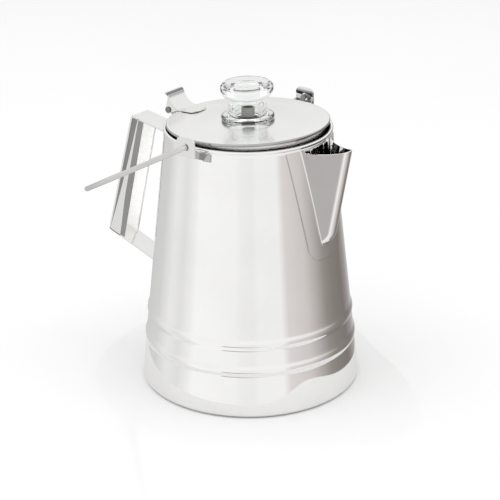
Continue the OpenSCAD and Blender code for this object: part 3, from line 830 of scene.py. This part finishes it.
def foot_on_wall(x_start, x_end, z_low, z_top, thick):
    """A small tab that lies on the conical wall, with soft edges."""
    steps, soft = 8, 0.25
    low_x, high_x = min(x_start, x_end), max(x_start, x_end)
    outline = [(low_x, z_low), (high_x, z_low), (high_x, z_top), (low_x, z_top)]
    layers = ((0.0, 0.0), (thick - soft, 0.0), (thick - soft * 0.3, soft * 0.3), (thick, soft))
    verts = []
    for up, inn in layers:
        corners = inset(outline, inn)
        for a, b in zip(corners, corners[1:] + corners[:1]):
            for k in range(steps):
                x, z = (a[0] + (b[0] - a[0]) * k / steps, a[1] + (b[1] - a[1]) * k / steps)
                reach = cone_r(z) + up
                verts.append((x, -math.sqrt(reach * reach - x * x), z))
    around = len(outline) * steps
    top = (len(layers) - 1) * around
    faces = rings_to_faces(len(layers), around, False)
    return verts, faces + [list(range(around)), [top + k for k in range(around)]]


def ears():
    """Both ears, each as a plate and a pair of legs in a darker steel, which is painted shade."""
    for side, node in ((-1, "bail_ear_right"), (1, "bail_ear_left")):
        plate, legs = ear(side)
        dress(make(node + "_plate", plate, weighted=True), "pot_frame", "polished_steel", STRAP, node)
        # The legs and feet take a darker steel: painted shade.
        dress(make(node + "_legs", legs, weighted=True), "pot_frame", "polished_steel", PAINTED_SHADE_MID, node)


def bail_line():
    """Half the bail's middle line, drawn level and hanging towards -X: its hook, then the rest."""
    arm_y, bend_r, hook_len, droop, bow_steps = 73.6, 3.0, 4.4, math.radians(38), 48
    inner_y = EAR_OUT - EAR_T - 1.6
    hook = [(0, -inner_y + t * math.cos(droop), -t * math.sin(droop))
            for t in spread(hook_len, 0.9, 0.9)]
    elbow = [(0, -inner_y - t * 0.6, -0.18 * (1 - t) ** 2) for t in (0.0, 0.5, 1.0)]
    through = [(0, -y, 0) for y in spread(inner_y + 1.2, arm_y - bend_r, 1.0)]
    bend = [(-bend_r + x, -arm_y + bend_r + y, 0) for x, y in arc(0, 0, bend_r, 0, -90, 8)][1:]
    straight = [(-x, -arm_y, 0) for x in spread(bend_r, BAIL_REACH - arm_y, 8.0)][1:]
    turn = [(-(BAIL_REACH - arm_y) - arm_y * math.sin(a), -arm_y * math.cos(a), 0)
            for a in (math.pi / 2 * k / bow_steps for k in range(1, bow_steps + 1))]
    return hook + elbow + through, through[-1:] + bend + straight + turn


def bail():
    """The bent wire in two pieces, so that the hooks, painted darker as shade in the ears, can differ from the
    rest.
    """
    hook, half = bail_line()
    whole = half + [(x, -y, z) for x, y, z in reversed(half[:-1])]
    hang = Matrix.Translation((0, 0, BAIL_Z)) @ Matrix.Rotation(-BAIL_REST, 4, "Y")
    wire = dress(make("bail_wire", moved(tube(whole, WIRE_R, 32), hang), 50), "bail_group", "wire_steel",
                 WIRE, "bail")
    wire.visible_glossy = False
    hooks = [tube(hook, WIRE_R, 32), moved(tube(hook, WIRE_R, 32), Matrix.Diagonal((1, -1, 1, 1)))]
    # The hooks take a darker steel: painted shade of the holes in the ears.
    dress(make("bail_hooks", moved(joined(*hooks), hang), 50), "bail_group", "wire_steel", PAINTED_SHADE_DARK, "bail")


# ---- hinge ----

PIN_R = 1.4
BARREL_R = 2.6
LUG_T = 1.4
BARREL_HALF = LEVER_W / 2 - LUG_T - 0.4


def hinge():
    """A bent strap on the wall with a barrel at its top, and the headed pin through it."""
    plate_t, low_z = 1.5, 177.0
    plate_in = -cone_r(low_z) - 0.05
    plate_out = plate_in - plate_t
    outline = ([(plate_in, low_z), (plate_out, low_z), (plate_out, 188.4), (HINGE.x - 1.8, 190.9)]
               + [(HINGE.x, HINGE.z), (HINGE.x + 1.2, HINGE.z + 2.1), (plate_in, 191.4)])
    shape = joined(across(outline, BARREL_HALF, 0.4),
                   barrel(HINGE.x, HINGE.z, BARREL_R, BARREL_HALF, 0.3, bore=PIN_R))
    # The bracket takes a darker steel: painted shade.
    dress(make("hinge_bracket_strap", shape, weighted=True), "pot_frame", "satin_steel", PAINTED_SHADE_MID,
          "hinge_bracket")
    head_h, head_proud, end_gap = 0.9, 0.9, 0.15
    heads = [barrel(HINGE.x, HINGE.z, PIN_R + head_proud, head_h / 2, 0.4,
                    side * (LEVER_W / 2 + end_gap + head_h / 2)) for side in (-1, 1)]
    shape = joined(barrel(HINGE.x, HINGE.z, PIN_R - 0.01, LEVER_W / 2 + 0.3, 0.1), *heads)
    # The pin takes a still darker steel: painted shade.
    dress(make("hinge_pin_rod", shape, weighted=True), "pot_frame", "satin_steel", PAINTED_SHADE_DARK, "hinge_pin")


# ---- lid ----

def lid():
    """The lid's sheet with its raised seat and notches for the knob, and the curl round its edge."""
    curl_z = LID_EDGE_Z - CURL_R
    top = [(KNOB_HOLE_R, SEAT_Z), (SEAT_R - 1, SEAT_Z), (SEAT_R + 1, SEAT_Z - 0.05)]
    top += [(MARGIN_R - 1, LID_EDGE_Z + 0.05), (MARGIN_R + 1, LID_EDGE_Z)]
    edge = arc(CURL_MID_R, curl_z, CURL_R, 90, 60, 4)
    under = [(CURL_MID_R, LID_EDGE_Z - SHEET), (MARGIN_R, LID_EDGE_Z - SHEET)]
    under += [(SEAT_R, SEAT_Z - SHEET), (KNOB_HOLE_R, SEAT_Z - SHEET)]
    curl = lathe(arc(CURL_MID_R, curl_z, CURL_R, 60, -210, 28) + [(CURL_MID_R, LID_EDGE_Z - SHEET)])
    # The curl is a separate piece in darker steel: painted shade of the lid's edge.
    dress(make("lid_curl", moved(curl, ON_LID), 40), "lid_group", "satin_steel", PAINTED_SHADE_MID, "lid")
    piece = make("lid_sheet", lathe(top + edge + under), 40)
    notch_half, notch_r, cut_h, pitch = 4.5, KNOB_HOLE_R + LUG_REACH, 5, 360 / LUG_COUNT
    notch = [(0, -notch_half), (notch_r, -notch_half), (notch_r, notch_half), (0, notch_half)]
    block = slab(notch, SEAT_Z - cut_h, SEAT_Z + cut_h, 0.0, steps=1)
    for k in range(LUG_COUNT):
        carve(piece, moved(block, Matrix.Rotation(math.radians((k + 0.5) * pitch), 4, "Z")))
    smooth(piece, 40)
    piece.data.transform(lid_matrix())
    dress(piece, "lid_group", "satin_steel", LID_STEEL, "lid")


def lid_matrix():
    """The lid's tilt for a mesh that is in metres."""
    tilt = ON_LID.copy()
    tilt.translation *= MM
    return tilt


def lid_skirt():
    """The ring under the lid that keeps it in the middle of the mouth."""
    outer, thick, height, soft = 55.0, 0.8, 6.0, 0.3
    top_z = LID_EDGE_Z - SHEET
    low_z = top_z - height
    outline = [(outer, top_z), (outer, low_z + soft)]
    outline += arc(outer - soft, low_z + soft, soft, 0, -90, 4)[1:]
    outline += arc(outer - thick + soft, low_z + soft, soft, -90, -180, 4)
    outline += [(outer - thick, top_z)]
    piece = make("lid_skirt_ring", moved(lathe(outline), ON_LID), 40)
    dress(piece, "lid_group", "satin_steel", SATIN, "lid_skirt")


def thumb_lever():
    """One bent strap: a round-ended leaf on the lid, a quarter turn up to the thumb and two hinge lugs."""
    leaf_t, bend_r, bend_x, bend_end, tip_x, lip_r, nose_r = 1.2, 11.5, -53.0, 193, -41.0, 1.6, 14.0
    half = LEVER_W / 2
    bend_z = LID_EDGE_Z + leaf_t + bend_r
    lip_reach, lip_turn = bend_r + leaf_t + lip_r, math.radians(bend_end)
    lip_x, lip_z = bend_x + lip_reach * math.cos(lip_turn), bend_z + lip_reach * math.sin(lip_turn)
    first, shaded, last = [
        across(arc(lip_x, lip_z, lip_r + leaf_t, start, end, 8) + arc(lip_x, lip_z, lip_r, end, start, 8),
               half, soft) for start, end, soft in ((13, 25, 0.2), (25, 75, 0.05), (75, 113, 0.05))]
    # The middle of the lip's curl is a separate piece in dark steel: painted shade.
    dress(make("thumb_lever_lip", moved(shaded, ON_LID), weighted=True), "lid_group", "satin_steel",
          PAINTED_SHADE_DARK, "thumb_lever")
    outline = (arc(bend_x, bend_z, bend_r, 270, bend_end, 20)
               + arc(bend_x, bend_z, bend_r + leaf_t, bend_end, 270, 20))
    curve = across(outline, half, 0.3)
    nose_x = tip_x - nose_r
    swing = math.degrees(math.asin(half / nose_r))
    plan = [(bend_x, -half)] + arc(nose_x, 0, nose_r, -swing, swing, 16) + [(bend_x, half)]
    leaf = slab(plan, LID_EDGE_Z + 0.35, LID_EDGE_Z + leaf_t, 0.25)
    shapes = [curve, leaf, first, last]
    lug_r, pin_fit = 3, 0.05
    for side in (-1, 1):
        lug = (arc(HINGE.x, HINGE.z, lug_r, 180, 330, 14)
               + arc(bend_x, bend_z, bend_r + leaf_t / 2, 262, bend_end + 2, 12))
        bore = circle(HINGE.x, HINGE.z, PIN_R + pin_fit, 24)
        shapes.append(across(lug, LUG_T / 2, 0.25, [bore], side * (LEVER_W - LUG_T) / 2))
    piece = make("thumb_lever_strap", moved(joined(*shapes), ON_LID), weighted=True)
    dress(piece, "lid_group", "satin_steel", STRAP, "thumb_lever")


# ---- glass knob ----

def knob():
    """Hollow pressed knob, with three lugs below the lid that hold it after a turn."""
    head_r, knob_h, bore_r, neck_r, soft = 18.7, 26.8, 9.0, 13.5, 1.4
    under_r, over_r = 7.0, 4.0
    foot_z = SEAT_Z + 0.2
    collar_r, collar_top = head_r + 0.1, foot_z + 3.6
    top_z = SEAT_Z + knob_h
    head_low, roof_z = top_z - 11.5, top_z - 8.0
    lug_half, lug_h = 3.5, 1.8
    spigot_low, spigot_r = SEAT_Z - SHEET - 0.2 - lug_h, KNOB_HOLE_R - 0.5
    outline = [(bore_r, spigot_low), (spigot_r, spigot_low), (spigot_r, foot_z)]
    outline += arc(collar_r - soft, foot_z + soft, soft, -90, 0, 8)
    outline += arc(collar_r - soft, collar_top - soft, soft, 0, 90, 8)
    outline += arc(neck_r + soft, collar_top + soft, soft, 270, 180, 8)
    outline += arc(neck_r + soft, head_low - soft, soft, 180, 120, 6)
    outline += arc(head_r - under_r, head_low + under_r, under_r, -66, 0, 12)
    outline += arc(head_r - over_r, top_z - over_r, over_r, 0, 90, 16)
    outline += [(0, top_z), (0, roof_z)]
    outline += arc(bore_r - 3, roof_z - 3, 3, 90, 0, 10)
    piece = make("knob_glass", lathe(outline, 160), 40)
    lug_in, lug_r = bore_r + 0.5, KNOB_HOLE_R + LUG_REACH - 0.6
    lug = [(lug_in, -lug_half), (lug_r - 0.4, -lug_half), (lug_r, 0), (lug_r - 0.4, lug_half),
           (lug_in, lug_half)]
    block = slab(lug, spigot_low, spigot_low + lug_h, 0.0, steps=1)
    for k in range(LUG_COUNT):
        carve(piece, moved(block, Matrix.Rotation(math.radians(360 / LUG_COUNT * k), 4, "Z")), "UNION")
    smooth(piece, 40)
    piece.data.transform(lid_matrix())
    dress(piece, "knob_group", "clear_glass", GLASS, "glass_knob")


# ---- brewing insert ----

def insert_parts():
    """Copies of the insert's CAD nodes, whose shapes are right as they are, smooth and in steel."""
    bodies = frame["record"]["behaviour"]["bodies"]
    for body in ("pump_group", "basket_group", "spreader_group"):
        for node in bodies[body]:
            piece = frame["nodes"][node].copy()
            piece.data = frame["nodes"][node].data.copy()
            piece.name = node + "_sheet"
            for key in list(piece.keys()):
                del piece[key]
            piece.parent = None
            scene.collection.objects.link(piece)
            work = bmesh.new()
            work.from_mesh(piece.data)
            bmesh.ops.remove_doubles(work, verts=work.verts, dist=1e-6)
            work.to_mesh(piece.data)
            work.free()
            smooth(piece, 28, weighted=True)
            dress(piece, body, "satin_steel", TUBE if node == "pump_tube" else SATIN, node)


# ---- camera, floor and light ----

def camera():
    """The photograph's place and lens: 22.5 degrees above level, 36.8 degrees round from the side."""
    azimuth, elevation, roll = math.radians(36.8), math.radians(22.53), math.radians(-0.6)
    distance, side_shift, lens = 1.2, 0.0004, 118.94
    target = Vector((side_shift * math.cos(azimuth), side_shift * math.sin(azimuth), POT_H * MM / 2))
    back = Vector((math.sin(azimuth) * math.cos(elevation), -math.cos(azimuth) * math.cos(elevation),
                   math.sin(elevation)))
    data = bpy.data.cameras.new("camera")
    data.sensor_width = 36
    data.lens = lens
    viewer = bpy.data.objects.new("camera", data)
    scene.collection.objects.link(viewer)
    viewer.matrix_world = (Matrix.Translation(target + back * distance)
                           @ (-back).to_track_quat("-Z", "Y").to_matrix().to_4x4()
                           @ Matrix.Rotation(roll, 4, "Z"))
    scene.camera = viewer


def plane(name, corners):
    """A flat stage sheet with the given corners."""
    mesh = bpy.data.meshes.new(name)
    mesh.from_pydata(corners, [], [list(range(len(corners)))])
    sheet = bpy.data.objects.new(name, mesh)
    scene.collection.objects.link(sheet)
    return sheet


def square(half, z):
    """Corners of a level square round the origin."""
    return [(-half, -half, z), (half, -half, z), (half, half, z), (-half, half, z)]


def floor_paint(name, low, high):
    """Pale paint with a faint mottle between two tones."""
    material = bpy.data.materials.new(name)
    material.use_nodes = True
    nodes = Nodes(material.node_tree)
    shader = nodes.add("BsdfPrincipled", IOR=1.6)
    out = nodes.add("OutputMaterial")
    nodes.link(shader.outputs["BSDF"], out.inputs["Surface"])
    mottle = nodes.noise(nodes.mapped((1, 1, 1)), 3.0, 3.0)
    nodes.link(nodes.ramp(mottle, [(0.3, low), (0.7, high)]), shader.inputs["Base Color"])
    nodes.link(nodes.remap(mottle, 0.06, 0.1), shader.inputs["Roughness"])
    return material


def floor():
    """Plain pale floor, hidden from reflections. The pot reflects a darker patch in its place, a painted
    reflection that bulges in front of the spout.
    """
    hair = 0.0001
    sheet = plane("floor", square(6.0, -2 * hair))
    sheet.data.materials.append(floor_paint("floor_paint", 0.925, 0.945))
    sheet.visible_glossy = False
    patch_r, bulge, bulge_at, dent, dent_at = 0.116, 0.036, -8, 0.016, 57
    patch = []
    for turn in range(-180, 180, 5):
        reach = patch_r + bulge * math.exp(-((turn - bulge_at) / 22) ** 2)
        reach -= dent * math.exp(-((turn - dent_at) / 24) ** 2)
        patch.append((reach * math.cos(math.radians(turn)), reach * math.sin(math.radians(turn)), -hair))
    # The patch is a sheet that only reflections see, painted darker than the floor: a painted reflection of the
    # floor round the pot.
    card = plane("floor_reflection_patch", patch)
    card.data.materials.append(floor_paint("painted_reflection_floor_paint", 0.78, 0.8))
    card.visible_camera = card.visible_diffuse = card.visible_shadow = False


def turn_share(nodes, vector):
    """Azimuth of a vector as a share of a whole turn that starts at -X, and its height."""
    split = nodes.add("SeparateXYZ")
    nodes.link(vector, split.inputs["Vector"])
    azimuth = nodes.math("ARCTAN2", split.outputs["Y"], split.outputs["X"])
    return nodes.math("ADD", nodes.math("DIVIDE", azimuth, 2 * math.pi), 0.5), split.outputs["Z"]


def at(degrees):
    """Place of an azimuth on the studio's ramps."""
    return (degrees % 360 + 180) % 360 / 360


def studio():
    """A bright room round the pot, with soft upright bands as screens and walls would give."""
    world = bpy.data.worlds.new("studio")
    world.use_nodes = True
    scene.world = world
    nodes = Nodes(world.node_tree)
    place = nodes.add("TexCoord")
    share, height = turn_share(nodes, place.outputs["Generated"])
    bands = nodes.ramp(share, [
        (at(-179), 0.68), (at(-156), 0.86), (at(-148), 0.84), (at(-138), 0.79), (at(-124), 0.9),
        (at(-117), 0.98), (at(-70), 0.95), (at(-63), 0.9), (at(-50), 0.88), (at(-44), 0.92),
        (at(-18), 0.92), (at(-10), (0.74, 0.70, 0.69)), (at(14), (0.64, 0.60, 0.59)),
        (at(26), (0.50, 0.47, 0.455)), (at(42), (0.31, 0.285, 0.265)), (at(56), (0.25, 0.225, 0.21)),
        (at(78), (0.215, 0.195, 0.18)), (at(96), (0.36, 0.34, 0.33)), (at(112), 0.56),
        (at(179), 0.68)], "LINEAR")
    under = nodes.ramp(share, [
        (at(-179), 1.0), (at(-88), 1.0), (at(-83), (0.5, 0.475, 0.47)), (at(-68), (0.5, 0.475, 0.47)),
        (at(-30), 1.0), (at(179), 1.0)], "LINEAR")
    overhead = nodes.remap(height, 0.0, 1.0, 0.02, 0.3)
    not_low = nodes.ramp(nodes.remap(height, 0.0, 1.0, -1.0, 1.0),
                         [(0.19, 1.0), (0.215, 0.0), (0.265, 0.0), (0.31, 1.0)], "LINEAR")
    low_shade = nodes.blend(not_low, under, (1.0, 1.0, 1.0))
    walls = nodes.blend(1.0, bands, low_shade, "MULTIPLY")
    room = nodes.blend(overhead, walls, (0.95, 0.95, 0.95))
    light = nodes.add("Background", Strength=1.0)
    nodes.link(room, light.inputs["Color"])
    out = nodes.add("OutputWorld")
    nodes.link(light.outputs["Background"], out.inputs["Surface"])
    scene.view_settings.view_transform = "Standard"


def softbox(name, azimuth, elevation, distance, size, power):
    """An area light that looks at the pot from a direction, in degrees."""
    aim = Vector((0, 0, 0.1))
    data = bpy.data.lights.new(name, "AREA")
    data.size = size
    data.energy = power
    lamp = bpy.data.objects.new(name, data)
    scene.collection.objects.link(lamp)
    a, e = math.radians(azimuth), math.radians(elevation)
    way = Vector((math.cos(a) * math.cos(e), math.sin(a) * math.cos(e), math.sin(e)))
    lamp.location = way * distance + aim
    lamp.visible_glossy = False
    lamp.rotation_mode = "QUATERNION"
    lamp.rotation_quaternion = (-way).to_track_quat("-Z", "Y")


pot_body()
base_plate()
spout()
handle_arms()
handle_grip()
ears()
bail()
hinge()
lid()
lid_skirt()
thumb_lever()
knob()
insert_parts()
camera()
floor()
studio()
softbox("key", -125, 60, 1.6, 1.2, 4)
softbox("fill", 20, 65, 1.8, 1.4, 4)
